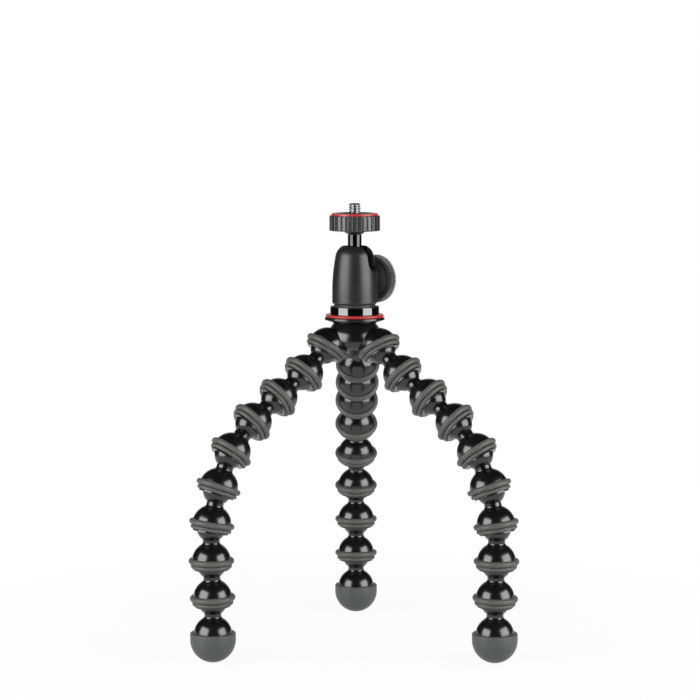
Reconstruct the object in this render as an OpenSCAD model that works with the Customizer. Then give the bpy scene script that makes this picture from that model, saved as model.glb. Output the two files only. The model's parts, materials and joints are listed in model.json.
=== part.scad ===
// Flexible leg tripod with a ball head, in millimetres.
// Three legs of ball-and-socket links stand on rubber feet and carry a hub, a plate and the head.
// The origin is on the floor, at the middle of the outline seen from above, with +Z up.
// The stand's own axis lies a little in front of the origin, because one leg points to the rear.

/* [Leg links] */
// Distance from the stand's axis to the ball centres in the hub
socket_reach = 17; // [16.5:0.5:20]
// Lean of the hub's sockets from the vertical, in degrees
socket_angle = 34; // [30:1:38]
// Distance from one ball centre to the next
link_pitch = 19.3; // [18.8:0.1:21]
// Diameter of each link's ball
ball_d = 15; // [14.4:0.1:15.4]
// Diameter of the neck between ball and dome
neck_d = 8.8; // [7.8:0.1:9.2]
// Radius of the fillet between neck and dome
neck_fillet = 1.5; // [0.8:0.1:1.8]
// Diameter of the dome over each socket
dome_d = 20; // [19.6:0.1:20.8]
// Height of the dome's centre above the centre of its socket
dome_lift = 2; // [1.7:0.1:2.2]
// Depth of the socket's mouth below the centre of its ball
mouth_drop = 2.4; // [2.1:0.1:2.6]
// Gap between a ball and its socket
ball_gap = 0.2; // [0.15:0.05:0.3]

/* [Grip rings] */
// Outer diameter of the ring's bead
grip_d = 23.5; // [22.8:0.1:24.5]
// Diameter of the bead's section
bead_d = 3; // [2.6:0.1:3.2]
// Outer diameter of the ring's lower lip
lip_d = 21.2; // [20.6:0.1:22]
// Diameter of the lip's section
lip_bead_d = 2.2; // [1.8:0.1:2.4]
// Diameter of the seat that the ring is moulded on
seat_d = 18.5; // [18.2:0.1:18.9]

/* [Feet] */
// Diameter of the rubber foot
foot_d = 23.6; // [22.6:0.1:25]
// Height of the rubber foot
foot_h = 15.2; // [14:0.1:17]
// Height of the foot's rim above the centre that a socket would have there
foot_rim = 3.2; // [2.6:0.1:3.8]
// Diameter of the flat that the foot stands on
foot_flat_d = 6; // [3:0.5:9]
// Diameter of the plug inside the foot
plug_d = 17; // [14:0.5:18]
// Height of the plug inside the foot
plug_h = 7; // [4:0.5:8]
// Rounding of the foot's rim
foot_round = 0.8; // [0.4:0.1:1.2]

/* [Hub and plate] */
// Height of the hub's top face above the ball centres in its sockets
hub_rise = 13.5; // [12:0.5:16]
// Diameter of the hub's top face
hub_top_d = 22; // [20:0.5:24]
// Diameter of the hub's shoulder, between the tops of its domes
hub_shoulder_d = 26.6; // [25:0.2:28]
// Depth of the hub's shoulder below its top face
hub_shoulder_drop = 2.4; // [2:0.1:4]
// Turn of the hub's sockets against the directions of the legs, in degrees
hub_angle = -5.5; // [-8:0.5:8]
// Depth of the hub's tip below the ball centres in its sockets
hub_tip_drop = 3; // [2:0.5:6]
// Diameter of the hub's tip
hub_tip_d = 3.2; // [2:0.2:5]
// Diameter of the top plate
plate_d = 31.4; // [31:0.2:36]
// Diameter of the top plate's underside, where it meets the hub
plate_foot_d = 22; // [18:0.5:23]
// Height of the plate's conical underside
plate_cone_h = 1.7; // [1.2:0.1:3.5]
// Height of the plate's rim
plate_rim_h = 1.3; // [0.4:0.1:1.8]
// Outer diameter of the accent ring
accent_d = 30.6; // [29:0.2:31]
// Height of the accent ring, and of the plate's step inside it
accent_h = 1.6; // [1.3:0.1:2.6]
// Width of the accent ring
accent_w = 2; // [1.6:0.1:3]
// Diameter of the stud that joins hub, plate and head
stud_d = 6.35; // [5:0.05:9.5]
// Depth of the stud in the hub
stud_in_hub = 7; // [4:0.5:9]
// Depth of the stud in the head's base
stud_in_head = 5; // [3:0.5:7]

/* [Ball head] */
// Diameter of the collar of the head's base
collar_d = 25.6; // [24:0.2:28]
// Height of the collar
collar_h = 4.1; // [3:0.1:6]
// Bevel of the collar's edges
collar_bevel = 0.35; // [0.2:0.05:0.8]
// Diameter of the groove between collar and housing
groove_d = 21.6; // [19:0.2:24]
// Height of that groove
groove_h = 1.1; // [0.6:0.1:2]
// Height of the spigot inside the housing
spigot_h = 4; // [2:0.5:5]
// Diameter of the housing
housing_d = 23.6; // [23:0.2:26]
// Height of the housing
housing_h = 31.7; // [31:0.1:34]
// Height of the housing's straight foot
housing_foot_h = 6.6; // [4:0.2:9]
// Radius of the housing's flank, which leans in above that foot
flank_r = 105; // [95:1:150]
// Radius of the housing's shoulder
shoulder_r = 7.5; // [6.5:0.1:8.2]
// Rounding of the housing's lower edge
housing_round = 1.2; // [0.6:0.1:2]
// Diameter of the opening round the stem
throat_d = 13.2; // [12.8:0.1:13.8]
// Height of the ball's centre above the housing's foot
ball_rise = 21.6; // [21:0.1:22.4]
// Diameter of the head's ball
head_ball_d = 17; // [16:0.1:17.4]
// Gap between that ball and the housing and seat
head_ball_gap = 0.2; // [0.15:0.05:0.3]
// Diameter of the stem
stem_d = 7.2; // [6:0.1:7.6]
// Height of the stem's shoulder above the ball's centre
stem_rise = 14.9; // [14:0.1:18]
// Direction of the drop notch, counted from the right towards the rear, in degrees
notch_azimuth = -20; // [-45:1:-10]
// Gap between the stem and each side of the notch
notch_gap = 0.45; // [0.3:0.05:0.7]
// Width of the rebate round the notch
rebate_w = 0.7; // [0.4:0.1:1]
// Depth of the rebate round the notch
rebate_depth = 0.5; // [0.3:0.1:0.8]

/* [Lock knob] */
// Direction of the lock knob, counted from the right towards the rear, in degrees
knob_azimuth = 53; // [50:1:70]
// Depth of the knob's axis below the centre of the head's ball
knob_drop = 9.2; // [8:0.1:10]
// Distance of the knob pad's face from the head's axis
pad_reach = 13.2; // [12.8:0.1:14.5]
// Width of the knob pad
pad_w = 11; // [9:0.5:13]
// Height of the pad's straight sides above the knob's axis
pad_rise = 2.5; // [1:0.5:4]
// Height of the pad's lower end above the housing's foot
pad_lift = 0.4; // [0.2:0.1:2]
// Gap between the pad and the knob
knob_gap = 0.4; // [0.3:0.1:0.8]
// Outer diameter of the knurled grip
knob_d = 25.4; // [23:0.2:27]
// Diameter of the smooth core inside the grip
core_d = 20.6; // [17:0.2:21.4]
// Bulge of the core's inner face
core_bulge = 2; // [1:0.1:2.6]
// Width of the knurled grip
grip_w = 5.3; // [4:0.1:8]
// Height of the grip above the edges of the core's two faces
grip_proud = 0.4; // [0.2:0.1:0.8]
// Rounding of the grip's edges
grip_round = 0.9; // [0.5:0.1:1.1]
// Number of grooves in the grip
knurl_count = 80; // [40:2:90]
// Diameter of each of those grooves
knurl_d = 0.6; // [0.4:0.05:0.7]
// Diameter of the lock screw
lock_screw_d = 6; // [4:0.5:7]
// Depth of the lock screw in the knob
screw_in_core = 4; // [3:0.5:5]
// Distance of the lock screw's tip from the head's axis
screw_tip = 5.5; // [5:0.1:6.5]
// Travel of the ball seat when the knob is loosened
seat_travel = 0.4; // [0.2:0.1:0.5]
// Gap between the ball seat and the housing's bore
seat_gap = 0.3; // [0.2:0.05:0.5]

/* [Camera dial] */
// Diameter of the ribbed dial
dial_d = 26.6; // [25.6:0.2:30]
// Height of the ribbed band
dial_h = 8; // [7:0.1:10]
// Number of grooves between the ribs
rib_count = 30; // [18:1:36]
// Diameter of each of those grooves
rib_groove_d = 1.5; // [0.8:0.1:1.8]
// Diameter of the cone under the dial, at its wide end
dial_cone_d = 13.2; // [11:0.2:16]
// Height of that cone
dial_cone_h = 2; // [1.5:0.1:3]
// Bevel of the dial's edges
dial_bevel = 0.5; // [0.3:0.1:0.8]
// Diameter of the journal that the dial turns on
journal_d = 4.8; // [3.5:0.1:5.4]
// Diameter of the rivet head that keeps the dial on the journal
rivet_d = 7; // [6.4:0.1:7.4]
// Height of that rivet head
rivet_h = 1; // [0.6:0.1:1.4]
// Outer diameter of the red ring on the dial
dial_ring_d = 24.4; // [22:0.2:25.2]
// Height of the red ring
dial_ring_h = 1.2; // [0.8:0.1:1.6]
// Diameter of the rubber pad inside the ring
dial_pad_d = 18.8; // [15:0.2:20]
// Height of the rubber pad, the camera's seat
dial_pad_h = 1.4; // [1:0.1:2]
// Diameter of the camera screw
camera_screw_d = 6.35; // [6.35, 9.525]
// Length of the camera screw above the pad
camera_screw_l = 5; // [4:0.1:6]
// Depth of the relief under the screw's thread
screw_relief = 0.3; // [0.2:0.05:0.5]
// Diameter of the screw's flange inside the dial
flange_d = 10.4; // [10:0.1:11]
// Height of that flange
flange_h = 2.8; // [2:0.1:3]

/* [Fits] */
// Gap between pieces that are fixed to each other
fixed_gap = 0.05; // [0.03:0.01:0.1]
// Gap between pieces that turn or slide on each other
running_gap = 0.1; // [0.08:0.01:0.2]
// Gap between pieces that stay clear of each other
free_gap = 0.2; // [0.15:0.05:0.4]

/* [Hidden] */
$fn = 96;
// Facets of the small grooves in the grip and the dial
groove_fn = 24;
// Reach of the cutting shapes past what they cut
over = 1;

// Name and direction of each leg, counted from the right towards the rear, in degrees
LEGS = [["left", 210], ["right", 330], ["rear", 90]];
// Bend of each link's joint as the leg stands, from the hub down, outwards positive, in degrees
link_bends = [13, 7, -2, -13, -18, -10, -11, -2];
link_count = len(link_bends);
// Joint at the foot, which stands upright
joint_count = link_count + 1;

function link_name(leg, i) = str(leg[0], "_leg_link_", i);

// Radii
ball_r = ball_d / 2;
cavity_r = ball_r + ball_gap;
neck_r = neck_d / 2;
dome_r = dome_d / 2;
seat_r = seat_d / 2;
bead_r = bead_d / 2;
lip_bead_r = lip_bead_d / 2;
grip_r = grip_d / 2;
foot_r = foot_d / 2;
head_ball_r = head_ball_d / 2;
housing_r = housing_d / 2;
bore_r = head_ball_r + head_ball_gap;
stem_r = stem_d / 2;

// Grip ring, measured from the centre of its socket
ring_top = dome_lift + bead_r;
lip_top = dome_lift - bead_r;
lip_z = lip_top - lip_bead_r;
ring_bore_r = seat_r + fixed_gap;

// Fillet between neck and dome: its centre, and the radius where it meets the dome
fillet_x = neck_r + neck_fillet;
fillet_z = dome_lift + sqrt(pow(dome_r + neck_fillet, 2) - pow(fillet_x, 2));
fillet_meet = fillet_x * dome_r / (dome_r + neck_fillet);

// Foot, measured from the centre that a socket would have there
foot_sole = foot_rim - foot_h;
foot_ball_z = foot_sole + sqrt(pow(foot_r, 2) - pow(foot_flat_d / 2, 2));

// Lean of link i from the vertical, its socket's distance from the axis and its depth below the hub's
function lean(i) = i == 0 ? socket_angle : i == joint_count ? 0 : lean(i - 1) + link_bends[i - 1];
function reach(i) = i == 0 ? socket_reach : reach(i - 1) + link_pitch * sin(lean(i));
function drop(i) = i == 0 ? 0 : drop(i - 1) + link_pitch * cos(lean(i));
socket_z = drop(joint_count) - foot_sole;

// Turn of each leg's plane that brings its foot back to the leg's direction
leg_turn = asin(-socket_reach * sin(hub_angle) / (reach(joint_count) - socket_reach));
// Distance of link i's socket from the axis along the leg's direction
function way_out(i) = socket_reach * cos(hub_angle) + (reach(i) - socket_reach) * cos(leg_turn);

// Furthest reach of a grip ring or foot along a direction whose share along the leg is given
function ring_reach(i, share) =
    (way_out(i) - dome_lift * sin(lean(i))) * share
    + (grip_r - bead_r) * sqrt(1 - pow(share * sin(lean(i)), 2)) + bead_r;
function leg_reach(share) =
    max(way_out(joint_count) * share + foot_r, max([for (i = [1 : link_count]) ring_reach(i, share)]));
rear_reach = leg_reach(1);
front_reach = leg_reach(-sin(LEGS[0][1]));
axis_y = (front_reach - rear_reach) / 2;

// Heights of the hub, the plate and the head above the floor
hub_top = socket_z + hub_rise;
plate_step = hub_top + plate_cone_h + plate_rim_h;
plate_top = plate_step + accent_h;
collar_top = plate_top + collar_h;
housing_foot = collar_top + groove_h;
spigot_top = housing_foot + spigot_h;
ball_z = housing_foot + ball_rise;
housing_top = housing_foot + housing_h;
knob_z = ball_z - knob_drop;
shoulder_z = ball_z + stem_rise;
dial_foot = shoulder_z + running_gap + dial_cone_h;
dial_top = dial_foot + dial_h;
seat_top = dial_top + dial_pad_h;
stud_foot = hub_top - stud_in_hub;
stud_top = plate_top + stud_in_head;
stud_bore_d = stud_d + 2 * fixed_gap;

// Housing's outline: centres of its flank and shoulder, and the height where the two meet at an inset
flank_x = housing_r - flank_r;
flank_z = housing_foot + housing_foot_h;
crown_z = housing_top - shoulder_r;
crown_x = flank_x + sqrt(pow(flank_r - shoulder_r, 2) - pow(crown_z - flank_z, 2));
function crown_meet(inset) = flank_z + (crown_z - flank_z) * (flank_r - inset) / (flank_r - shoulder_r);
// Bulge of the shoulder past the flank, so that the two meet in one clean edge
shoulder_bulge = 0.003;
notch_w = stem_d + 2 * notch_gap;

// Knob, measured along its own axis from the head's axis
core_face = pad_reach + knob_gap;
grip_face = core_face + core_bulge - grip_proud;
grip_back = grip_face + grip_w;
core_back = grip_back - grip_proud;
core_r = core_d / 2;
core_ball_r = (pow(core_r, 2) + pow(core_bulge, 2)) / (2 * core_bulge);
screw_back = core_face + screw_in_core;
screw_bore_d = lock_screw_d + 2 * running_gap;

// Ball seat inside the housing
seat_foot = spigot_top + seat_travel + running_gap;
seat_face = ball_z - bore_r;
seat_slot_d = lock_screw_d + 2 * (seat_travel + running_gap);
lock_seat_r = bore_r - seat_gap;

// Dial's bores, from the stem's shoulder up
dial_bore_d = journal_d + 2 * running_gap;
flange_z = dial_top - flange_h;
rivet_room_d = rivet_d + 2 * free_gap;
rivet_z = flange_z - free_gap - rivet_h;
rivet_room_z = rivet_z - running_gap;

// Colours
gloss_black = "#17171a";
satin_black = "#2b2b2e";
rubber_grey = "#5a5a5c";
red = "#c23a36";
steel = "#8b8d90";

// Right half of a plane outline, for turning round the Z axis
module right_half(size) {
    intersection() {
        children();
        translate([0, -size]) square([size, 2 * size]);
    }
}

// Rectangle with round corners, from its lower left corner
module round_rect(w, h, r) {
    translate([r, 0]) square([w - 2 * r, h]);
    translate([0, r]) square([w, h - 2 * r]);
    for (x = [r, w - r], y = [r, h - r]) translate([x, y]) circle(r);
}

// Places its children on the stand's axis
module on_axis(z) {
    translate([0, axis_y, z]) children();
}

// Places its children at joint i of a leg, with +Z along the link towards the hub
module on_leg(leg, i) {
    on_axis(socket_z - drop(i))
        rotate([0, 0, leg[1] + hub_angle]) translate([socket_reach, 0, 0])
            rotate([0, 0, i == 0 ? 0 : leg_turn - hub_angle]) translate([reach(i) - socket_reach, 0, 0])
                rotate([0, -lean(i), 0]) children();
}

// Places its children on the knob's axis, with +Z pointing out of the head
module on_knob() {
    on_axis(knob_z) rotate([0, 0, knob_azimuth]) rotate([0, 90, 0]) children();
}

// Outline of a dome over a shoulder at the given height
module dome_outline(shoulder) {
    difference() {
        translate([0, dome_lift]) circle(dome_r);
        translate([-dome_d, shoulder - 2 * dome_d]) square([2 * dome_d, 2 * dome_d]);
    }
}

// Outline of a dome with the ring's seat below it
module socket_outline() {
    dome_outline(ring_top + fixed_gap);
    translate([0, -mouth_drop]) square([seat_r, ring_top + fixed_gap + mouth_drop]);
}

// Outline of the neck and ball on top of a dome
module neck_outline() {
    square([neck_r, link_pitch]);
    difference() {
        square([fillet_meet, fillet_z]);
        translate([fillet_x, fillet_z]) circle(neck_fillet);
    }
    translate([0, link_pitch]) circle(ball_r);
}

// Rubber ring round the mouth of a socket
module grip_ring() {
    color(rubber_grey) rotate_extrude() {
        difference() {
            union() {
                translate([grip_r - bead_r, dome_lift]) circle(bead_r);
                translate([lip_d / 2 - lip_bead_r, lip_z]) circle(lip_bead_r);
                translate([0, lip_top]) square([grip_r - bead_r, bead_d]);
                translate([0, lip_z - lip_bead_r]) square([lip_d / 2 - lip_bead_r, lip_bead_d]);
            }
            translate([0, -grip_d]) square([ring_bore_r, 2 * grip_d]);
        }
    }
}

// One leg link: socket, dome, neck and ball in one moulding, with its rubber ring
module leg_link(leg, i) {
    on_leg(leg, i) {
        color(gloss_black) rotate_extrude() {
            right_half(2 * link_pitch) difference() {
                union() {
                    socket_outline();
                    neck_outline();
                }
                circle(cavity_r);
            }
        }
        grip_ring();
    }
}

// Last link of a leg, whose plug sits inside the rubber foot
module foot_link(leg) {
    on_leg(leg, joint_count) color(gloss_black) rotate_extrude() {
        right_half(2 * link_pitch) {
            dome_outline(foot_rim);
            neck_outline();
            translate([0, foot_rim - plug_h]) square([plug_d / 2, plug_h + over]);
        }
    }
}

// Rubber foot: a round cap with a small flat sole
module foot(leg) {
    on_leg(leg, joint_count) color(rubber_grey) rotate_extrude() {
        difference() {
            right_half(2 * foot_d) {
                intersection() {
                    translate([0, foot_ball_z]) circle(foot_r);
                    translate([0, foot_sole]) square([foot_r, foot_ball_z - foot_sole]);
                }
                translate([0, foot_ball_z]) square([foot_r, foot_rim - foot_ball_z - foot_round]);
                translate([0, foot_rim - 2 * foot_round]) square([foot_r - foot_round, 2 * foot_round]);
                translate([foot_r - foot_round, foot_rim - foot_round]) circle(foot_round);
            }
            translate([0, foot_rim - plug_h]) square([plug_d / 2 + fixed_gap, plug_h + over]);
        }
    }
}

// Hub: an inverted cone with three sockets, and a bore for the stud
module hub() {
    color(gloss_black) difference() {
        union() {
            on_axis(0) rotate_extrude() polygon([
                [0, socket_z - hub_tip_drop],
                [hub_tip_d / 2, socket_z - hub_tip_drop],
                [hub_shoulder_d / 2, hub_top - hub_shoulder_drop],
                [hub_top_d / 2, hub_top],
                [0, hub_top]
            ]);
            for (leg = LEGS) on_leg(leg, 0) rotate_extrude() right_half(2 * dome_d) socket_outline();
        }
        for (leg = LEGS) on_leg(leg, 0) sphere(cavity_r);
        on_axis(stud_foot) cylinder(d = stud_bore_d, h = stud_in_hub + over);
    }
}

// Rubber rings of the hub's three sockets
module hub_rings() {
    for (leg = LEGS) on_leg(leg, 0) grip_ring();
}

// Top plate: a disc with a conical underside and a step inside the accent ring
module top_plate() {
    color(gloss_black) on_axis(0) rotate_extrude() polygon([
        [stud_bore_d / 2, hub_top],
        [plate_foot_d / 2, hub_top],
        [plate_d / 2, hub_top + plate_cone_h],
        [plate_d / 2, plate_step],
        [accent_d / 2 - accent_w - fixed_gap, plate_step],
        [accent_d / 2 - accent_w - fixed_gap, plate_top],
        [stud_bore_d / 2, plate_top]
    ]);
}

// Red ring with a half-round edge, on the step of the top plate
module accent_ring() {
    color(red) on_axis(plate_step) rotate_extrude() {
        translate([accent_d / 2 - accent_w, 0]) square([accent_w - accent_h / 2, accent_h]);
        translate([accent_d / 2 - accent_h / 2, accent_h / 2]) circle(accent_h / 2);
    }
}

// Stud that joins hub, plate and head
module stand_stud() {
    color(steel) on_axis(stud_foot) cylinder(d = stud_d, h = stud_top - stud_foot);
}

// Head's base: a bevelled collar, a groove and a spigot inside the housing
module head_base() {
    collar_r = collar_d / 2;
    color(gloss_black) on_axis(0) difference() {
        rotate_extrude() polygon([
            [0, plate_top],
            [collar_r - collar_bevel, plate_top],
            [collar_r, plate_top + collar_bevel],
            [collar_r, collar_top - collar_bevel],
            [collar_r - collar_bevel, collar_top],
            [groove_d / 2, collar_top],
            [groove_d / 2, housing_foot],
            [bore_r - fixed_gap, housing_foot],
            [bore_r - fixed_gap, spigot_top],
            [0, spigot_top]
        ]);
        translate([0, 0, plate_top - over]) cylinder(d = stud_bore_d, h = stud_in_head + over);
    }
}

// Outline of the housing, drawn in from its surface by inset
module housing_outline(inset) {
    r = housing_r - inset;
    right_half(2 * housing_top) {
        translate([0, housing_foot + housing_round]) square([r, housing_foot_h - housing_round]);
        translate([0, housing_foot]) square([r - housing_round, housing_foot_h]);
        translate([r - housing_round, housing_foot + housing_round]) circle(housing_round);
        intersection() {
            translate([flank_x, flank_z]) circle(flank_r - inset, $fn = 4 * $fn);
            translate([0, flank_z]) square([r, crown_meet(inset) - flank_z]);
        }
        translate([crown_x, crown_z]) circle(shoulder_r + shoulder_bulge - inset);
        translate([0, flank_z]) square([crown_x, housing_top - inset - flank_z]);
    }
}

// Drop notch through the housing's wall, made wider by margin on each side
module notch_cut(margin) {
    width = notch_w + 2 * margin;
    on_axis(ball_z) rotate([0, 0, notch_azimuth]) rotate([0, 90, 0]) linear_extrude(housing_d) {
        circle(d = width);
        translate([-housing_h, -width / 2]) square([housing_h, width]);
    }
}

// Outline of the housing's inside: a bore for the ball seat, a round end for the ball and the throat
module bore_outline() {
    right_half(2 * housing_top) {
        translate([0, housing_foot - over]) square([bore_r, ball_rise + over]);
        translate([0, ball_z]) circle(bore_r);
        translate([0, ball_z]) square([throat_d / 2, housing_h]);
    }
}

// Housing: a bullet-shaped shell with a ball bore, a throat, the drop notch and the knob's pad
module head_housing() {
    color(satin_black) difference() {
        union() {
            on_axis(0) rotate_extrude() housing_outline(0);
            on_knob() linear_extrude(pad_reach) {
                translate([-pad_rise, 0]) circle(d = pad_w);
                translate([-pad_rise, -pad_w / 2]) square([knob_z - housing_foot - pad_lift + pad_rise, pad_w]);
            }
        }
        on_axis(0) rotate_extrude() bore_outline();
        on_knob() cylinder(d = screw_bore_d, h = pad_reach + over);
        notch_cut(0);
        difference() {
            notch_cut(rebate_w);
            on_axis(0) rotate_extrude() housing_outline(rebate_depth);
        }
    }
}

// Ball with its stem, the journal for the dial and the rivet head on the journal
module ball_stem() {
    color(satin_black) on_axis(0) {
        translate([0, 0, ball_z]) sphere(head_ball_r);
        translate([0, 0, ball_z]) cylinder(r = stem_r, h = stem_rise);
        translate([0, 0, ball_z]) cylinder(d = journal_d, h = rivet_z - ball_z + rivet_h / 2);
        translate([0, 0, rivet_z]) cylinder(d = rivet_d, h = rivet_h);
    }
}

// Brake pad under the ball, with a flat face and a slot for the lock screw's tip
module ball_seat() {
    color(satin_black) difference() {
        on_axis(seat_foot) cylinder(r = lock_seat_r, h = seat_face - seat_foot);
        on_knob() translate([0, 0, screw_tip - over]) cylinder(d = seat_slot_d, h = housing_r);
    }
}

// Lock screw, with a conical tip half as wide as the screw
module lock_screw() {
    screw_r = lock_screw_d / 2;
    color(steel) on_knob() rotate_extrude() polygon([
        [0, screw_tip],
        [screw_r / 2, screw_tip],
        [screw_r, screw_tip + screw_r / 2],
        [screw_r, screw_back],
        [0, screw_back]
    ]);
}

// Smooth core of the lock knob, with a bulging inner face
module lock_knob() {
    color(gloss_black) on_knob() rotate_extrude() {
        difference() {
            intersection() {
                translate([0, core_face + core_ball_r]) circle(core_ball_r, $fn = 4 * $fn);
                translate([0, core_face]) square([core_r, core_back - core_face]);
            }
            translate([0, core_face - over])
                square([lock_screw_d / 2 + fixed_gap, screw_in_core + over]);
        }
    }
}

// Knurled grip round the core
module knob_grip() {
    inner = core_r + fixed_gap;
    color(rubber_grey) on_knob() difference() {
        translate([0, 0, grip_face]) rotate_extrude()
            translate([inner, 0]) round_rect(knob_d / 2 - inner, grip_w, grip_round);
        for (i = [0 : knurl_count - 1]) rotate([0, 0, i * 360 / knurl_count])
            translate([knob_d / 2, 0, grip_face - over])
                cylinder(d = knurl_d, h = grip_w + 2 * over, $fn = groove_fn);
    }
}

// Ribbed dial with a cone underneath, turning on the stem's journal
module camera_dial() {
    dial_r = dial_d / 2;
    color(satin_black) on_axis(0) difference() {
        rotate_extrude() polygon([
            [0, dial_foot - dial_cone_h],
            [stem_r, dial_foot - dial_cone_h],
            [dial_cone_d / 2, dial_foot],
            [dial_r - dial_bevel, dial_foot],
            [dial_r, dial_foot + dial_bevel],
            [dial_r, dial_top - dial_bevel],
            [dial_r - dial_bevel, dial_top],
            [0, dial_top]
        ]);
        translate([0, 0, dial_foot - dial_cone_h - over])
            cylinder(d = dial_bore_d, h = dial_h + dial_cone_h);
        translate([0, 0, rivet_room_z]) cylinder(d = rivet_room_d, h = dial_h);
        translate([0, 0, flange_z]) cylinder(d = flange_d + 2 * fixed_gap, h = dial_h);
        for (i = [0 : rib_count - 1]) rotate([0, 0, i * 360 / rib_count])
            translate([dial_r, 0, dial_foot - over])
                cylinder(d = rib_groove_d, h = dial_h + 2 * over, $fn = groove_fn);
    }
}

// Flat ring from the dial's top face up
module dial_disc(inner_d, outer_d, height) {
    on_axis(dial_top) difference() {
        cylinder(d = outer_d, h = height);
        translate([0, 0, -over]) cylinder(d = inner_d, h = height + 2 * over);
    }
}

// Red ring on the dial
module dial_ring() {
    color(red) dial_disc(dial_pad_d + 2 * fixed_gap, dial_ring_d, dial_ring_h);
}

// Rubber pad that the camera sits on
module dial_pad() {
    color(rubber_grey) dial_disc(camera_screw_d + 2 * free_gap, dial_pad_d, dial_pad_h);
}

// Camera screw, with a flange inside the dial and a bevelled end
module camera_screw() {
    screw_r = camera_screw_d / 2;
    screw_end = seat_top + camera_screw_l;
    color(steel) on_axis(0) rotate_extrude() polygon([
        [0, flange_z],
        [flange_d / 2, flange_z],
        [flange_d / 2, dial_top],
        [screw_r - screw_relief, dial_top],
        [screw_r - screw_relief, seat_top],
        [screw_r, seat_top],
        [screw_r, screw_end - dial_bevel],
        [screw_r - dial_bevel, screw_end],
        [0, screw_end]
    ]);
}

hub();
hub_rings();
top_plate();
accent_ring();
stand_stud();
for (leg = LEGS, i = [1 : link_count])
    leg_link(leg, i);
for (leg = LEGS)
    foot_link(leg);
for (leg = LEGS)
    foot(leg);
head_base();
head_housing();
ball_stem();
ball_seat();
lock_screw();
lock_knob();
knob_grip();
camera_dial();
dial_ring();
dial_pad();
camera_screw();
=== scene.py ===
"""Looks of the flexible leg tripod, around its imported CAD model. Sizes are in millimetres unless said."""
import json
import math

import bpy
from mathutils import Matrix, Vector

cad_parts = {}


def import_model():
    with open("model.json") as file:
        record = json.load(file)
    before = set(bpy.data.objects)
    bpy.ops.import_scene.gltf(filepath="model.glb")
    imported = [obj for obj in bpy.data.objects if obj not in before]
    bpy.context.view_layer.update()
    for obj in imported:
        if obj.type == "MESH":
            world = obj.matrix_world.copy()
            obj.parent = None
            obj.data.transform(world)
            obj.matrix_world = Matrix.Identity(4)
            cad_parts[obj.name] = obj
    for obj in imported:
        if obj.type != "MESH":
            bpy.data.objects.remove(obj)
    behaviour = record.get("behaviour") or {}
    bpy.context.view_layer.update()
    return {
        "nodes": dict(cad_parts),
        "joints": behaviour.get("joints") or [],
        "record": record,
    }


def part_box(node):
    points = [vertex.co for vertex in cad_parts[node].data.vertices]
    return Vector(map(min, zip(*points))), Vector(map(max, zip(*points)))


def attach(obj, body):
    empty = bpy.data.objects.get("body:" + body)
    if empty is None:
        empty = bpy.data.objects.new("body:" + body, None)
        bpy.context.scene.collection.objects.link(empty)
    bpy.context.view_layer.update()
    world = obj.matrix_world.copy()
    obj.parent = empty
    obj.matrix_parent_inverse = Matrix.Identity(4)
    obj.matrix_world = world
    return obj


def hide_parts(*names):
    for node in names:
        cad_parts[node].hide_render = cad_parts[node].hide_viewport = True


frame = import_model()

MM = 0.001
NODES = frame["nodes"]
JOINTS = {j["name"]: j for j in frame["joints"]}
LEGS = ("left", "right", "rear")
LINK_COUNT = 8
UP = Vector((0, 0, 1))

# Sizes that the CAD source gives
LINK_PITCH = 19.3
BALL_R = 7.5
NECK_R = 4.4
NECK_FILLET = 1.5
DOME_R = 10.0
DOME_LIFT = 2.0
MOUTH_DROP = 2.4
CAVITY_R = 7.7
SEAT_R = 9.25
RING_TOP = 3.5
SHOULDER = 3.55
RING_BORE_R = 9.3
# Bead and lip of a grip ring: radius and height of the section's centre, and the section's radius
BEAD = (10.25, 2.0, 1.5)
LIP = (9.5, -0.6, 1.1)
FIXED_GAP = 0.05
FOOT_R = 11.8
FOOT_RIM = 3.2
FOOT_SOLE = -12.0
FOOT_FLAT_R = 3.0
FOOT_ROUND = 0.8
PLUG_R = 8.5
PLUG_FOOT = -3.8
SOCKET_LEAN = 34.0
STUD_BORE_R = 3.225
HUB_TOP_R = 11.0
HUB_TIP_R = 1.6
PLATE_R = 15.7
PLATE_FOOT_R = 11.0
PLATE_RIM_H = 1.3
ACCENT_H = 1.6
STEP_R = 13.25
COLLAR_R = 12.8
COLLAR_BEVEL = 0.35
COLLAR_H = 4.1
GROOVE_R = 10.8
GROOVE_H = 1.1
SPIGOT_R = 8.65
STUD_IN_HUB = 7.0
STUD_IN_HEAD = 5.0
STEM_R = 3.6
DIAL_R = 13.3
DIAL_BEVEL = 0.5
DIAL_CONE_R = 6.6
DIAL_CONE_H = 2.0
DIAL_BORE_R = 2.5
RIB_COUNT = 30
RIB_GROOVE_R = 0.75
RIVET_ROOM_R = 3.7
RIVET_ROOM = 4.1
FLANGE_R = 5.2
FLANGE_H = 2.8
DIAL_RING_R = 12.2
DIAL_PAD_R = 9.4
DIAL_PAD_BORE_R = 3.375
SCREW_R = 3.175
KNOB_AZIMUTH = 53.0
CORE_R = 10.3
CORE_BULGE = 2.0
CORE_FACE = 13.6
SCREW_BORE_R = 3.05
SCREW_IN_CORE = 4.0
KNOB_R = 12.7
GRIP_W = 5.3
GRIP_PROUD = 0.4
GRIP_ROUND = 0.9

# Roundings that only the scene has
PLATE_ROUND = 0.15
RIM_FOOT_ROUND = 0.25
RIM_TOP_ROUND = 0.2
COLLAR_FOOT_ROUND = 0.12
GROOVE_ROUND = 0.1
DIAL_FOOT_ROUND = 0.1
DIAL_CONE_ROUND = 0.3
DIAL_RING_ROUND = 0.4
DIAL_RING_BORE_ROUND = 0.15
PAD_ROUND = 0.3
PAD_BORE_ROUND = 0.1
GRIP_BORE_ROUND = 0.2

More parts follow.
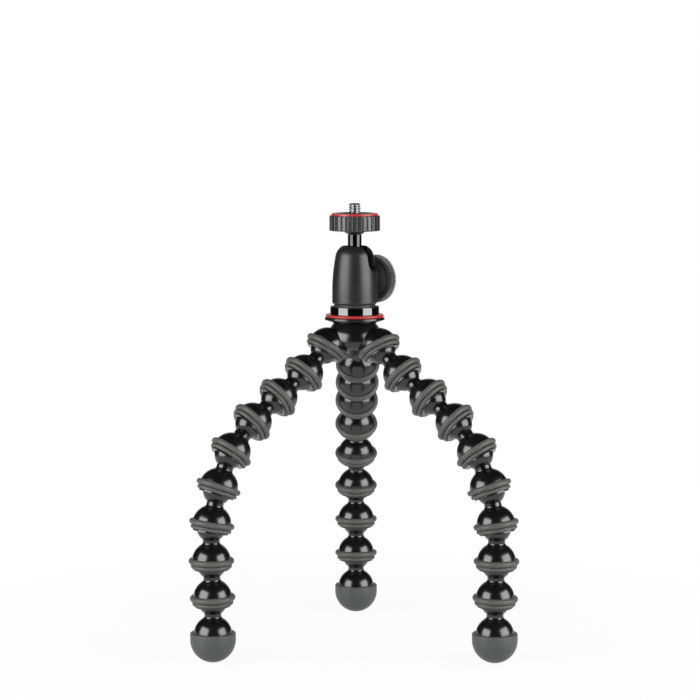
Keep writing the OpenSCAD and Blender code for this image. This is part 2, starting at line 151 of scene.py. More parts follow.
# Grooves in the dial's pad: their radii, half their width at the face and at the floor, depth and rounding
PAD_GROOVES = (8.3, 7.4, 5.5, 4.6)
PAD_GROOVE_FACE = 0.3
PAD_GROOVE_FLOOR = 0.2
PAD_GROOVE_DEPTH = 0.3
PAD_GROOVE_ROUND = 0.08

# Camera screw's thread. The land is the share of half a turn that is flat at the crest, and at the root
SCREW_PITCH = 1.27
THREAD_DEPTH = 0.72
THREAD_LAND = 0.12
THREAD_STEPS = 64

# Knob: the groove round its core, the dish in its back, and the grip's knurl, which fades out at the bore
CORE_GROOVE = 0.6
CORE_GROOVE_DEPTH = 1.5 * CORE_GROOVE
CORE_DISH = 0.5
CORE_STEPS = 24
KNURL_COUNT = 74
KNURL_DEPTH = 0.95
KNURL_START = 0.3
KNURL_RISE = 0.5

# Belly of the web between the hub's sockets, its keel below, and the room that it leaves round each ball
WEB_R = 14.6
WEB_DROP = 4.5
WEB_ROUND = 10.0
KEEL_R = 14.8
KEEL_LIFT = 1.2
KEEL_ROUND = 5.5
WEB_TIP_DROP = 4.0
WEB_ROOM_R = 8.6

# Fineness of the meshes: sides of turned pieces, sides for each rib and tooth, and distances between rings
SEGMENTS = 96
FINE_SEGMENTS = 144
WEB_SEGMENTS = 240
SCREW_SEGMENTS = 72
RIB_SEGMENTS = 14
KNURL_SEGMENTS = 8
WEB_STEP = 0.4
GRIP_STEP = 0.3
# Distance from a rounding to the edge loop that keeps the wall beside it flat
SUPPORT = 0.03
# Angles in degrees above which an edge stays sharp
SHARP = 40
RING_SHARP = 50
DIAL_SHARP = 35
TOOTH_SHARP = 60
# Radius below which a point lies on the lathe's axis
ON_AXIS_R = 1e-6


# Profiles and meshes

def arc(x, z, r, start, end, steps):
    """Points of an arc round (x, z), between two angles in degrees."""
    angles = (math.radians(start + (end - start) * i / steps) for i in range(steps + 1))
    return [(x + r * math.cos(a), z + r * math.sin(a)) for a in angles]


def rounded(corners, steps=4):
    """Points of an outline with rounded corners (x, z, radius). A corner with no radius stays sharp."""
    points = []
    for i, (x, z, r) in enumerate(corners):
        before, after = corners[i - 1], corners[(i + 1) % len(corners)]
        a = Vector((before[0] - x, before[1] - z))
        b = Vector((after[0] - x, after[1] - z))
        if r == 0:
            points.append((x, z))
            continue
        half = a.angle(b) / 2
        reach = r / math.tan(half)
        here = Vector((x, z))
        p, q = here + a.normalized() * reach, here + b.normalized() * reach
        centre = here + (a.normalized() + b.normalized()).normalized() * r / math.sin(half)
        start = math.atan2(p.y - centre.y, p.x - centre.x)
        sweep = math.atan2(q.y - centre.y, q.x - centre.x) - start
        sweep = (sweep + math.pi) % (2 * math.pi) - math.pi
        points.append(tuple(p + a.normalized() * SUPPORT))
        for k in range(steps + 1):
            t = start + sweep * k / steps
            points.append((centre.x + r * math.cos(t), centre.y + r * math.sin(t)))
        points.append(tuple(q + b.normalized() * SUPPORT))
    return points


def finer(outline, step):
    """The same outline with points no further apart than the step, apart from its closing side."""
    points = []
    for (x, z), (u, w) in zip(outline, outline[1:]):
        count = max(1, math.ceil(math.hypot(u - x, w - z) / step))
        points += [(x + (u - x) * i / count, z + (w - z) * i / count) for i in range(count)]
    return points + outline[-1:]


def smooth(mesh, sharp=SHARP):
    """The same mesh, shaded smooth, with its sharper edges kept."""
    mesh.shade_smooth()
    mesh.set_sharp_from_angle(angle=math.radians(sharp))
    return mesh


def new_mesh(name, vertices, faces, sharp):
    """A smooth mesh from points in millimetres."""
    mesh = bpy.data.meshes.new(name)
    mesh.from_pydata([Vector(v) * MM for v in vertices], [], faces)
    mesh.validate()
    return smooth(mesh, sharp)


def lathe(name, outline, segments=SEGMENTS, wave=None, sharp=SHARP):
    """A closed outline of (radius, height) turned round the Z axis. wave(x, z, angle) may move points."""
    vertices, rings, faces = [], [], []
    # An outline that goes up on its outer side has its faces turned, so that they look outwards
    upward = sum(x * w - u * z for (x, z), (u, w) in zip(outline, outline[1:] + outline[:1])) > 0
    for x, z in outline:
        if x < ON_AXIS_R:
            rings.append([len(vertices)] * segments)
            vertices.append((0, 0, z))
            continue
        rings.append(list(range(len(vertices), len(vertices) + segments)))
        for k in range(segments):
            a = 2 * math.pi * k / segments
            r, h = wave(x, z, a) if wave else (x, z)
            vertices.append((r * math.cos(a), r * math.sin(a), h))
    for i, ring in enumerate(rings):
        above = rings[(i + 1) % len(rings)]
        for k in range(segments):
            n = (k + 1) % segments
            corners = []
            for v in (ring[k], above[k], above[n], ring[n]):
                if v not in corners:
                    corners.append(v)
            if len(corners) > 2:
                faces.append(corners[::-1] if upward else corners)
    return new_mesh(name, vertices, faces, sharp)


def place(origin, axis):
    """Matrix that takes the Z axis to the given axis and the origin to the given point, in metres."""
    return Matrix.Translation(origin) @ UP.rotation_difference(axis).to_matrix().to_4x4()


def add(name, data):
    """A new object in the scene."""
    obj = bpy.data.objects.new(name, data)
    bpy.context.scene.collection.objects.link(obj)
    return obj


def piece(name, mesh, matrix, body, material, slot, *replaced):
    """A piece of the object on its body, in the place of the CAD nodes that it stands for."""
    obj = add(name, mesh)
    if not mesh.materials:
        mesh.materials.append(material)
    obj.matrix_world = matrix
    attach(obj, body)
    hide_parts(*replaced)


# Materials

RANGE_SOCKETS = ("From Min", "From Max", "To Min", "To Max")
# Places of the two colours and of the result among the sockets of a Mix node that mixes colours
COLOUR_A, COLOUR_B, COLOUR_OUT = 6, 7, 2
# Values between which most of a noise lies
NOISE_RANGE = (0.3, 0.7)
BEVEL_SAMPLES = 6


class Tree:
    """A material with a Principled shader, and short names for the nodes that feed it."""

    def __init__(self, name, **sockets):
        self.material = bpy.data.materials.new(name)
        self.material.use_nodes = True
        self.nodes = self.material.node_tree.nodes
        self.links = self.material.node_tree.links
        self.shader = self.nodes["Principled BSDF"]
        for socket, value in sockets.items():
            self.shader.inputs[socket].default_value = value
        self.coords = self.nodes.new("ShaderNodeTexCoord").outputs["Object"]

    def noise(self, size_mm, detail=3.0, roughness=0.5):
        """Noise whose features are about the given size."""
        node = self.nodes.new("ShaderNodeTexNoise")
        node.inputs["Scale"].default_value = 1 / (size_mm * MM)
        node.inputs["Detail"].default_value = detail
        node.inputs["Roughness"].default_value = roughness
        self.links.new(self.coords, node.inputs["Vector"])
        return node.outputs["Fac"]

    def spread(self, value, low, high):
        """Maps a noise value to a range."""
        node = self.nodes.new("ShaderNodeMapRange")
        for socket, number in zip(RANGE_SOCKETS, (*NOISE_RANGE, low, high)):
            node.inputs[socket].default_value = number
        self.links.new(value, node.inputs["Value"])
        return node.outputs["Result"]

    def tint(self, value, low, high):
        """Base colour between two colours."""
        node = self.nodes.new("ShaderNodeMix")
        node.data_type = "RGBA"
        node.inputs[COLOUR_A].default_value = (*low, 1)
        node.inputs[COLOUR_B].default_value = (*high, 1)
        self.links.new(self.spread(value, 0, 1), node.inputs["Factor"])
        self.links.new(node.outputs[COLOUR_OUT], self.shader.inputs["Base Color"])

    def rough(self, value, low, high):
        """Roughness between two values."""
        self.links.new(self.spread(value, low, high), self.shader.inputs["Roughness"])

    def eased(self, radius_mm):
        """Normal that eases the light over sharp edges."""
        node = self.nodes.new("ShaderNodeBevel")
        node.samples = BEVEL_SAMPLES
        node.inputs["Radius"].default_value = radius_mm * MM
        return node.outputs["Normal"]

    def bump(self, value, height_mm, strength, below=None):
        """Small relief, over another normal where one is given."""
        node = self.nodes.new("ShaderNodeBump")
        node.inputs["Strength"].default_value = strength
        node.inputs["Distance"].default_value = height_mm * MM
        self.links.new(value, node.inputs["Height"])
        if below:
            self.links.new(below, node.inputs["Normal"])
        self.links.new(node.outputs["Normal"], self.shader.inputs["Normal"])


def gloss_plastic(name, ease_mm=0):
    """Polished black moulding with faint flow marks and finger smears. Its inner corners may be eased."""
    tree = Tree(name, IOR=1.65)
    smear = tree.noise(9, 4)
    tree.tint(tree.noise(4), (0.0028, 0.0028, 0.0031), (0.0046, 0.0046, 0.0050))
    tree.rough(smear, 0.17, 0.25)
    tree.bump(tree.noise(1.6, 2), 0.012, 0.35, tree.eased(ease_mm) if ease_mm else None)
    return tree.material


def rubber(name, dark, light, grain_mm):
    """Matte elastomer with a fine moulded grain and a little dust."""
    tree = Tree(name, IOR=1.5)
    dust = tree.noise(5, 5, 0.6)
    grain = tree.noise(grain_mm, 2)
    tree.tint(dust, dark, light)
    tree.rough(grain, 0.42, 0.56)
    tree.bump(grain, 0.03, 0.5)
    return tree.material


def core_plastic():
    """Satin moulding of the knob's core."""
    tree = Tree("core_plastic", IOR=1.8)
    tree.tint(tree.noise(4), (0.048, 0.048, 0.047), (0.060, 0.060, 0.058))
    tree.rough(tree.noise(3), 0.28, 0.34)
    tree.bump(tree.noise(0.4, 2), 0.01, 0.3)
    return tree.material


def red_plastic():
    """Red moulding of the two rings."""
    tree = Tree("red_plastic", IOR=1.5)
    tree.tint(tree.noise(3), (0.36, 0.024, 0.022), (0.42, 0.030, 0.027))
    tree.rough(tree.noise(2), 0.28, 0.38)
    tree.bump(tree.noise(0.4, 2), 0.01, 0.3)
    return tree.material


def satin_metal():
    """Black anodised housing with a fine blasted grain."""
    tree = Tree("satin_metal", IOR=1.52)
    grain = tree.noise(0.22, 2)
    tree.tint(tree.noise(6, 4), (0.0095, 0.0095, 0.0105), (0.0130, 0.0130, 0.0140))
    tree.rough(tree.noise(4), 0.33, 0.39)
    tree.bump(grain, 0.010, 0.5, tree.eased(0.3))
    return tree.material


def black_metal():
    """Polished black collar."""
    tree = Tree("black_metal", Metallic=1.0)
    tree.tint(tree.noise(5), (0.088, 0.088, 0.090), (0.104, 0.104, 0.106))
    tree.rough(tree.noise(3), 0.05, 0.09)
    return tree.material


def stem_metal():
    """Polished dark steel."""
    tree = Tree("stem_metal", Metallic=1.0)
    tree.tint(tree.noise(3), (0.040, 0.040, 0.039), (0.055, 0.055, 0.053))
    tree.rough(tree.noise(1), 0.06, 0.10)
    return tree.material


def steel():
    """Machined steel."""
    tree = Tree("steel", Metallic=1.0)
    tree.tint(tree.noise(2), (0.46, 0.46, 0.47), (0.56, 0.56, 0.57))
    tree.rough(tree.noise(0.8), 0.24, 0.36)
    return tree.material


def dial_plastic():
    """Satin black moulding in slightly uneven tones."""
    tree = Tree("dial_plastic", IOR=1.65)
    tree.tint(tree.noise(3, 4), (0.016, 0.016, 0.016), (0.026, 0.026, 0.025))
    tree.rough(tree.noise(2), 0.26, 0.34)
    tree.bump(tree.noise(0.3, 2), 0.015, 0.4)
    return tree.material


GLOSS = gloss_plastic("gloss_plastic")
HUB_GLOSS = gloss_plastic("hub_gloss", 0.8)
GRIP_RUBBER = rubber("grip_rubber", (0.064, 0.064, 0.063), (0.086, 0.086, 0.084), 0.25)
FOOT_RUBBER = rubber("foot_rubber", (0.057, 0.058, 0.059), (0.070, 0.071, 0.072), 0.3)
KNOB_RUBBER = rubber("knob_rubber", (0.090, 0.090, 0.091), (0.115, 0.115, 0.116), 0.2)
PAD_RUBBER = rubber("pad_rubber", (0.024, 0.024, 0.024), (0.034, 0.034, 0.034), 0.3)
SEAT_PLASTIC = rubber("seat_plastic", (0.045, 0.045, 0.045), (0.055, 0.055, 0.055), 0.4)
CORE_PLASTIC = core_plastic()
RED = red_plastic()
SATIN = satin_metal()
COLLAR_METAL = black_metal()
STEM_METAL = stem_metal()
STEEL = steel()
DIAL = dial_plastic()

FINISHES = {
    "gloss_plastic": GLOSS, "rubber": GRIP_RUBBER, "pad_rubber": PAD_RUBBER, "red_plastic": RED,
    "steel": STEEL, "black_metal": COLLAR_METAL, "satin_metal": SATIN, "stem_metal": STEM_METAL,
    "seat_plastic": SEAT_PLASTIC, "dial_plastic": DIAL,
}
for part in frame["record"]["subparts"]:
    mesh = NODES[part["node"]].data
    mesh.materials.clear()
    mesh.materials.append(FINISHES[part["material_slot"]])
NODES["knob_grip"].data.materials[0] = KNOB_RUBBER


# Leg links, grip rings and feet

def neck_outline():
    """Right-hand outline of ball and neck down to the dome, from the ball's top."""
    ball_end = math.degrees(math.asin(math.sqrt(BALL_R**2 - NECK_R**2) / BALL_R))
    fillet_x = NECK_R + NECK_FILLET
    fillet_z = DOME_LIFT + math.sqrt((DOME_R + NECK_FILLET) ** 2 - fillet_x**2)
    lean = math.degrees(math.atan2(fillet_z - DOME_LIFT, fillet_x))
    points = [(0, LINK_PITCH + BALL_R)] + arc(0, LINK_PITCH, BALL_R, 90, -ball_end, steps=32)[1:]
    points += arc(fillet_x, fillet_z, NECK_FILLET, 180, 180 + lean, steps=8)
    return points, lean


def dome_end(shoulder):
    """Angle in degrees at which a dome meets a shoulder at the given height."""
    return math.degrees(math.asin((shoulder - DOME_LIFT) / DOME_R))


def dome_outline(shoulder):
    """Outline of ball, neck and dome down to a shoulder at the given height."""
    points, lean = neck_outline()
    return points + arc(0, DOME_LIFT, DOME_R, lean, dome_end(shoulder), steps=20)[1:]


def socket_outline():
    """Outline of a socket from its shoulder, round its mouth, to the top of its cavity."""
    mouth_x = math.sqrt(CAVITY_R**2 - MOUTH_DROP**2)
    points = [(SEAT_R, SHOULDER), (SEAT_R, -MOUTH_DROP), (mouth_x, -MOUTH_DROP)]
    start = -math.degrees(math.asin(MOUTH_DROP / CAVITY_R))
    return points + arc(0, 0, CAVITY_R, start, 90, steps=20)[1:-1] + [(0, CAVITY_R)]


def link_mesh():
    """One link of a leg: ball, neck, dome and socket."""
    return lathe("leg_link", dome_outline(SHOULDER) + socket_outline())


def ring_mesh():
    """Rubber ring: a bead with a lip below it."""
    lip_z, lip_r = LIP[1:]
    points = [(RING_BORE_R, RING_TOP)] + arc(*BEAD, 90, -90, steps=20) + arc(*LIP, 90, -90, steps=16)
    return lathe("grip_ring", points + [(RING_BORE_R, lip_z - lip_r)], sharp=RING_SHARP)


def foot_link_mesh():
    """Last link of a leg, with a plug inside the foot."""
    points = dome_outline(FOOT_RIM) + [(PLUG_R, FOOT_RIM), (PLUG_R, PLUG_FOOT), (0, PLUG_FOOT)]
    return lathe("foot_link", points)


def foot_mesh():
    """Rubber foot: a bowl with a small flat sole, open for the plug."""
    centre = FOOT_SOLE + math.sqrt(FOOT_R**2 - FOOT_FLAT_R**2)
    start = -math.degrees(math.acos(FOOT_FLAT_R / FOOT_R))
    bore = PLUG_R + FIXED_GAP
    points = [(0, FOOT_SOLE)] + arc(0, centre, FOOT_R, start, 0, steps=28)
    points += arc(FOOT_R - FOOT_ROUND, FOOT_RIM - FOOT_ROUND, FOOT_ROUND, 0, 90, steps=8)
    points += [(bore, FOOT_RIM), (bore, PLUG_FOOT), (0, PLUG_FOOT)]
    return lathe("foot", points)


LINK, RING, FOOT_LINK, FOOT = link_mesh(), ring_mesh(), foot_link_mesh(), foot_mesh()
for leg in LEGS:
    joints = [j for j in frame["joints"] if j["name"].startswith(f"{leg}_leg_")]
    balls = [Vector(j["pos_m"]) for j in joints]
    for i in range(LINK_COUNT):
        body = joints[i]["child"]
        at = place(balls[i + 1], balls[i] - balls[i + 1])
        piece(f"{body}_shell", LINK, at, body, GLOSS, "gloss_plastic", body)
        piece(f"{body}_ring", RING, at, body, GRIP_RUBBER, "rubber", body)
    body = joints[LINK_COUNT]["child"]
    at = place(balls[LINK_COUNT] - UP * LINK_PITCH * MM, UP)
    piece(f"{body}_dome", FOOT_LINK, at, body, GLOSS, "gloss_plastic", f"{body}_link")
    piece(f"{body}_cap", FOOT, at, body, FOOT_RUBBER, "rubber", body)


# Hub, plate and ball head

def heights(node):
    """Heights of a node's lowest and highest point, in millimetres."""
    low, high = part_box(node)
    return low.z / MM, high.z / MM


AXIS = sum(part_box("dial_pad"), Vector()) / 2
AXIS.z = 0
ON_AXIS = Matrix.Translation(AXIS)


def grooved(count, depth, half_width, inner):
    """Wave for the lathe: round grooves along the axis, which fade out towards an inner radius."""
    def wave(x, z, angle):
        pitch = 2 * math.pi * x / count
        across = ((angle * count / (2 * math.pi) + 0.5) % 1 - 0.5) * pitch
        share = max(0.0, 1 - (across / half_width) ** 2) ** 0.5
        return x - depth * share * min(1.0, max(0.0, x - inner)), z
    return wave


def socket_mesh():
    """One socket of the hub under its dome."""
    dome = [(0, DOME_LIFT + DOME_R)] + arc(0, DOME_LIFT, DOME_R, 90, dome_end(SHOULDER), steps=28)[1:]
    return lathe("hub_socket", dome + socket_outline())


def web_mesh(balls):
    """Web of the hub: a cone with a belly and the stud's bore, hollowed round the balls in the sockets."""
    top = heights("hub")[1]
    tip = balls[0].z - WEB_TIP_DROP
    outline = finer(rounded([
        (0, tip, 0), (HUB_TIP_R, tip, 0), (KEEL_R, balls[0].z + KEEL_LIFT, KEEL_ROUND),
        (WEB_R, top - WEB_DROP, WEB_ROUND), (HUB_TOP_R, top, 0),
        (STUD_BORE_R, top, 0), (STUD_BORE_R, top - STUD_IN_HUB, 0), (0, top - STUD_IN_HUB, 0),
    ], steps=32), WEB_STEP)

    def hollow(x, z, angle):
        for ball in balls:
            reach = math.hypot(ball.x, ball.y)
            along = reach * math.cos(angle - math.atan2(ball.y, ball.x))
            depth = WEB_ROOM_R**2 + along**2 - reach**2 - (z - ball.z) ** 2
            if along > 0 and depth > 0:
                x = min(x, along - math.sqrt(depth))
        return x, z
    return lathe("hub_web", outline, WEB_SEGMENTS, hollow)


def fused(name, *parts):
    """One closed mesh from crossing meshes and their matrices, in the first one's place."""
    shapes = []
    for mesh, matrix in parts:
        shape = add(name, mesh)
        shape.matrix_world = matrix
        shapes.append(shape)
    for other in shapes[1:]:
        union = shapes[0].modifiers.new("union", "BOOLEAN")
        union.operation, union.solver, union.object = "UNION", "EXACT", other
    whole = shapes[0].evaluated_get(bpy.context.evaluated_depsgraph_get())
    made = bpy.data.meshes.new_from_object(whole)
    for shape in shapes:
        bpy.data.objects.remove(shape)
    return smooth(made)


def plate_mesh():
    """Disc that the head stands on, with a cone below and a step for the red ring."""
    foot, top = heights("top_plate")
    step = top - ACCENT_H
    return lathe("top_plate", rounded([
        (STUD_BORE_R, foot, 0), (PLATE_FOOT_R, foot, PLATE_ROUND),
        (PLATE_R, step - PLATE_RIM_H, RIM_FOOT_ROUND), (PLATE_R, step, RIM_TOP_ROUND),
        (STEP_R, step, 0), (STEP_R, top, PLATE_ROUND), (STUD_BORE_R, top, 0),
    ]), FINE_SEGMENTS)


def base_mesh():
    """Polished collar, with a matte groove and the spigot above it."""
    foot, top = heights("head_base")
    collar = foot + COLLAR_H
    mesh = lathe("head_base", rounded([
        (0, foot + STUD_IN_HEAD, 0), (STUD_BORE_R, foot + STUD_IN_HEAD, 0), (STUD_BORE_R, foot, 0),
        (COLLAR_R, foot, COLLAR_FOOT_ROUND), (COLLAR_R, collar, COLLAR_BEVEL),
        (GROOVE_R, collar, GROOVE_ROUND), (GROOVE_R, collar + GROOVE_H, 0),
        (SPIGOT_R, collar + GROOVE_H, 0), (SPIGOT_R, top, 0), (0, top, 0),
    ]), FINE_SEGMENTS)
    mesh.materials.append(COLLAR_METAL)
    mesh.materials.append(PAD_RUBBER)
    for face in mesh.polygons:
        face.material_index = int(face.center.z > (collar - COLLAR_BEVEL / 2) * MM)
    return mesh


def dial_mesh():
    """Ribbed dial with a cone below, and room inside for the rivet and the screw's flange."""
    low, top = heights("camera_dial")
    foot = low + DIAL_CONE_H
    room = top - RIVET_ROOM
    outline = rounded([
        (DIAL_BORE_R, low, 0), (STEM_R, low, DIAL_FOOT_ROUND), (DIAL_CONE_R, foot, DIAL_CONE_ROUND),
        (DIAL_R, foot, DIAL_BEVEL), (DIAL_R, top, DIAL_BEVEL),
        (FLANGE_R + FIXED_GAP, top, 0), (FLANGE_R + FIXED_GAP, top - FLANGE_H, 0),
        (RIVET_ROOM_R, top - FLANGE_H, 0), (RIVET_ROOM_R, room, 0), (DIAL_BORE_R, room, 0),
    ])
    ribs = grooved(RIB_COUNT, RIB_GROOVE_R, RIB_GROOVE_R, DIAL_R - 2 * RIB_GROOVE_R)
    return lathe("camera_dial", outline, RIB_COUNT * RIB_SEGMENTS, ribs, DIAL_SHARP)


def dial_ring_mesh():
    """Red ring round the dial's pad."""
    low, top = heights("dial_ring")
    inner = DIAL_PAD_R + FIXED_GAP
    return lathe("dial_ring", rounded([
        (inner, low, 0), (DIAL_RING_R, low, 0),
        (DIAL_RING_R, top, DIAL_RING_ROUND), (inner, top, DIAL_RING_BORE_ROUND),
    ]), FINE_SEGMENTS)


def dial_pad_mesh():
    """Rubber seat with two pairs of shallow grooves in its face."""
    low, top = heights("dial_pad")
    corners = [(DIAL_PAD_BORE_R, low, 0), (DIAL_PAD_R, low, 0), (DIAL_PAD_R, top, PAD_ROUND)]
    groove_floor = top - PAD_GROOVE_DEPTH
    for r in PAD_GROOVES:
        corners += [
            (r + PAD_GROOVE_FACE, top, PAD_GROOVE_ROUND),
            (r + PAD_GROOVE_FLOOR, groove_floor, PAD_GROOVE_ROUND),
            (r - PAD_GROOVE_FLOOR, groove_floor, PAD_GROOVE_ROUND),
            (r - PAD_GROOVE_FACE, top, PAD_GROOVE_ROUND),
        ]
    corners.append((DIAL_PAD_BORE_R, top, PAD_BORE_ROUND))
    return lathe("dial_pad", rounded(corners, steps=2), FINE_SEGMENTS)


def screw_mesh():
    """Camera screw with a real thread from the dial's face to its bevelled end."""
    low, end = heights("camera_screw")
    face = low + FLANGE_H
    outline = [(0, low), (FLANGE_R, low), (FLANGE_R, face)]
    outline += [(SCREW_R, face + (end - face) * i / THREAD_STEPS) for i in range(THREAD_STEPS + 1)]
    outline.append((0, end))

    def thread(x, z, angle):
        if x > SCREW_R:
            return x, z
        turn = (z / SCREW_PITCH - angle / (2 * math.pi)) % 1
        flank = abs(2 * turn - 1)
        depth = min(1.0, max(0.0, (flank - THREAD_LAND) / (1 - 2 * THREAD_LAND)))
        return min(SCREW_R - THREAD_DEPTH * depth, SCREW_R - THREAD_DEPTH + end - z), z
    return lathe("camera_screw", outline, SCREW_SEGMENTS, thread, TOOTH_SHARP)


def core_mesh():
    """Knob's core along its own axis: a bulging face towards the head, a groove and a dished back."""
    face, back = CORE_FACE, CORE_FACE + CORE_BULGE - 2 * GRIP_PROUD + GRIP_W
    radius = (CORE_R**2 + CORE_BULGE**2) / (2 * CORE_BULGE)
    points = []
    for i in range(CORE_STEPS + 1):
        x = SCREW_BORE_R + (CORE_R - CORE_GROOVE - SCREW_BORE_R) * i / CORE_STEPS
        points.append((x, face + radius - math.sqrt(radius**2 - x**2)))
    groove_floor = points[-1][1] + CORE_GROOVE_DEPTH
    points += [(CORE_R - CORE_GROOVE, groove_floor), (CORE_R, groove_floor), (CORE_R, back)]
    # The dish, from two steps inside the back's rim
    for i in range(2, CORE_STEPS):
        share = i / CORE_STEPS
        points.append((CORE_R * (1 - share), back - CORE_DISH * math.sin(math.pi / 2 * share)))
    inside = face + SCREW_IN_CORE
    points += [(0, back - CORE_DISH), (0, inside), (SCREW_BORE_R, inside)]
    return lathe("lock_knob", points, FINE_SEGMENTS)


def grip_mesh():
    """Grip whose knurl runs over its rounded edges."""
    face = CORE_FACE + CORE_BULGE - GRIP_PROUD
    back = face + GRIP_W
    middle = (face + back) / 2
    inner = CORE_R + FIXED_GAP
    outline = finer(rounded([
        (inner, face, GRIP_BORE_ROUND), (KNOB_R, face, GRIP_ROUND),
        (KNOB_R, back, GRIP_ROUND), (inner, back, GRIP_BORE_ROUND),
    ], steps=8), GRIP_STEP)

    def knurl(x, z, angle):
        turn = angle * KNURL_COUNT / (2 * math.pi) % 1
        rise = min(1.0, max(0.0, (x - inner - KNURL_START) / KNURL_RISE))
        cut = KNURL_DEPTH * (1 - abs(2 * turn - 1)) * rise
        lean = math.atan2(z - middle, x - KNOB_R + GRIP_W / 2)
        return x - cut * max(0.0, math.cos(lean)), z - cut * math.sin(lean)
    return lathe("knob_grip", outline, KNURL_COUNT * KNURL_SEGMENTS, knurl, TOOTH_SHARP)


SOCKETS = []
lean = math.radians(SOCKET_LEAN)
for leg in LEGS:
    ball = Vector(JOINTS[f"{leg}_leg_bend_1"]["pos_m"])
    out = ball - AXIS
    out.z = 0
    axis = UP * math.cos(lean) - out.normalized() * math.sin(lean)
    SOCKETS.append((ball, place(ball, axis)))
    piece(f"hub_ring_{leg}", RING, SOCKETS[-1][1], "stand", GRIP_RUBBER, "rubber", "hub_rings")
SOCKET = socket_mesh()
WEB = web_mesh([(ball - AXIS) / MM for ball, _ in SOCKETS])
HUB = fused("hub", (WEB, ON_AXIS), *((SOCKET, at) for _, at in SOCKETS))
piece("hub_moulding", HUB, ON_AXIS, "stand", HUB_GLOSS, "gloss_plastic", "hub")
piece("plate", plate_mesh(), ON_AXIS, "stand", GLOSS, "gloss_plastic", "top_plate")
piece("collar", base_mesh(), ON_AXIS, "stand", COLLAR_METAL, "black_metal", "head_base")
piece("dial", dial_mesh(), ON_AXIS, "dial", DIAL, "dial_plastic", "camera_dial")
piece("dial_red_ring", dial_ring_mesh(), ON_AXIS, "dial", RED, "red_plastic", "dial_ring")
piece("dial_seat_pad", dial_pad_mesh(), ON_AXIS, "dial", PAD_RUBBER, "pad_rubber", "dial_pad")
piece("threaded_screw", screw_mesh(), ON_AXIS, "dial", STEEL, "steel", "camera_screw")

knob_turn = math.radians(KNOB_AZIMUTH)
KNOB_AXIS = Vector((math.cos(knob_turn), math.sin(knob_turn), 0))
knob_z = sum(heights("lock_screw")) / 2 * MM
ON_KNOB = place(AXIS + UP * knob_z, KNOB_AXIS)
piece("knob_core", core_mesh(), ON_KNOB, "knob", CORE_PLASTIC, "gloss_plastic", "lock_knob")
piece("knurled_grip", grip_mesh(), ON_KNOB, "knob", KNOB_RUBBER, "rubber", "knob_grip")


# Studio, in metres: a pale floor, a bright backdrop behind, and two softboxes beside the camera

WHITE = (1, 1, 1, 1)
FILL = 0.22
# Ranges are given as from, to, and the values at those ends
BACKDROP = (0.80, 1.0, 0.02, 1.0)
FLOOR_REACH = 6.0
FLOOR_PALE = (0.72, 0.72, 0.72, 1)
FLOOR_DIM = (0.12, 0.12, 0.12, 1)
FLOOR_SEEN = (0.10, 0.30, 0.93, 1.0)
FLOOR_MIRRORED = (0.4, 1.2, 0.9, 0.0)
SOFTBOX_AZIMUTHS = {"softbox_left": -56, "softbox_right": 64}
SOFTBOX_AWAY = 0.9
SOFTBOX_HEIGHT = 0.36
SOFTBOX_SIZE = (0.86, 0.62)
SOFTBOX_WATTS = 10
AIM = Vector((0, 0, 0.13))
# Sensor and lens in millimetres, and angles in degrees
CAMERA_SENSOR = 36
CAMERA_LENS = 125.01
CAMERA_AT = (0.01219, -1.29442, 0.2904)
CAMERA_DIP = 5.969
CAMERA_TURN = 0.659


def softbox(name, azimuth):
    """Area light at an angle from the camera's side, aimed at the tripod."""
    light = bpy.data.lights.new(name, "AREA")
    light.shape = "RECTANGLE"
    light.size, light.size_y = SOFTBOX_SIZE
    light.energy = SOFTBOX_WATTS
    obj = add(name, light)
    a = math.radians(azimuth)
    obj.location = (SOFTBOX_AWAY * math.sin(a), -SOFTBOX_AWAY * math.cos(a), SOFTBOX_HEIGHT)
    obj.rotation_euler = (AIM - obj.location).to_track_quat("-Z", "Y").to_euler()


def mapped(nodes, links, value, limits):
    """A value that is mapped smoothly from one range to another."""
    node = nodes.new("ShaderNodeMapRange")
    node.interpolation_type = "SMOOTHSTEP"
    for socket, number in zip(RANGE_SOCKETS, limits):
        node.inputs[socket].default_value = number
    links.new(value, node.inputs["Value"])
    return node.outputs["Result"]


def maths(nodes, links, operation, first, second):
    """Result of a sum or product of two values."""
    node = nodes.new("ShaderNodeMath")
    node.operation = operation
    links.new(first, node.inputs[0])
    links.new(second, node.inputs[1])
    return node.outputs[0]


def mixed(nodes, links, share, first, second):
    """Mix of two shaders."""
    node = nodes.new("ShaderNodeMixShader")
    links.new(share, node.inputs["Fac"])
    links.new(first.outputs[0], node.inputs[1])
    links.new(second.outputs[0], node.inputs[2])
    return node


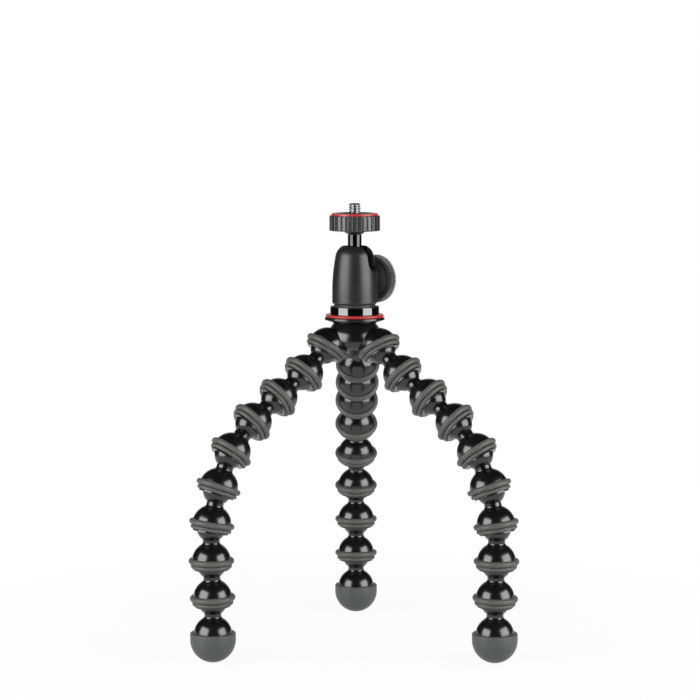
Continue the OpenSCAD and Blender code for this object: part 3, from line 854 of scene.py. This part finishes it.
def floor():
    """Pale floor that looks white to the camera and in near reflections, and keeps the object's shadow."""
    mesh = bpy.data.meshes.new("floor")
    r = FLOOR_REACH
    mesh.from_pydata([(-r, -r, 0), (r, -r, 0), (r, r, 0), (-r, r, 0)], [], [(0, 1, 2, 3)])
    obj = add("floor", mesh)
    material = bpy.data.materials.new("floor")
    material.use_nodes = True
    nodes, links = material.node_tree.nodes, material.node_tree.links
    nodes.clear()
    output = nodes.new("ShaderNodeOutputMaterial")
    matte, dim = (nodes.new("ShaderNodeBsdfDiffuse") for _ in range(2))
    matte.inputs["Color"].default_value = FLOOR_PALE
    dim.inputs["Color"].default_value = FLOOR_DIM
    white = nodes.new("ShaderNodeEmission")
    white.inputs["Color"].default_value = WHITE
    path = nodes.new("ShaderNodeLightPath")
    away = nodes.new("ShaderNodeVectorMath")
    away.operation = "LENGTH"
    links.new(nodes.new("ShaderNodeTexCoord").outputs["Object"], away.inputs[0])
    seen = mapped(nodes, links, away.outputs["Value"], FLOOR_SEEN)
    seen = maths(nodes, links, "MULTIPLY", path.outputs["Is Camera Ray"], seen)
    mirrored = mapped(nodes, links, away.outputs["Value"], FLOOR_MIRRORED)
    mirrored = maths(nodes, links, "MULTIPLY", path.outputs["Is Glossy Ray"], mirrored)
    ground = mixed(nodes, links, path.outputs["Is Glossy Ray"], matte, dim)
    mix = mixed(nodes, links, maths(nodes, links, "ADD", seen, mirrored), ground, white)
    links.new(mix.outputs[0], output.inputs["Surface"])
    mesh.materials.append(material)


def world():
    """White for the camera, a bright backdrop and a dark front for reflections, and a soft fill."""
    made = bpy.data.worlds.new("studio")
    bpy.context.scene.world = made
    made.use_nodes = True
    nodes, links = made.node_tree.nodes, made.node_tree.links
    nodes.clear()
    output = nodes.new("ShaderNodeOutputWorld")
    path = nodes.new("ShaderNodeLightPath")
    split = nodes.new("ShaderNodeSeparateXYZ")
    links.new(nodes.new("ShaderNodeTexCoord").outputs["Generated"], split.inputs[0])
    fill, backdrop, white = (nodes.new("ShaderNodeBackground") for _ in range(3))
    for node in (fill, backdrop, white):
        node.inputs["Color"].default_value = WHITE
    fill.inputs["Strength"].default_value = FILL
    links.new(mapped(nodes, links, split.outputs["Y"], BACKDROP), backdrop.inputs["Strength"])
    mirrored = mixed(nodes, links, path.outputs["Is Glossy Ray"], fill, backdrop)
    seen = mixed(nodes, links, path.outputs["Is Camera Ray"], mirrored, white)
    links.new(seen.outputs[0], output.inputs["Surface"])


def camera():
    """The photo's point of view."""
    data = bpy.data.cameras.new("camera")
    data.sensor_width = CAMERA_SENSOR
    data.lens = CAMERA_LENS
    obj = add("camera", data)
    obj.location = CAMERA_AT
    obj.rotation_euler = (math.radians(90 - CAMERA_DIP), 0, math.radians(CAMERA_TURN))
    bpy.context.scene.camera = obj


floor()
world()
camera()
for light_name, light_azimuth in SOFTBOX_AZIMUTHS.items():
    softbox(light_name, light_azimuth)
bpy.context.scene.view_settings.view_transform = "Standard"
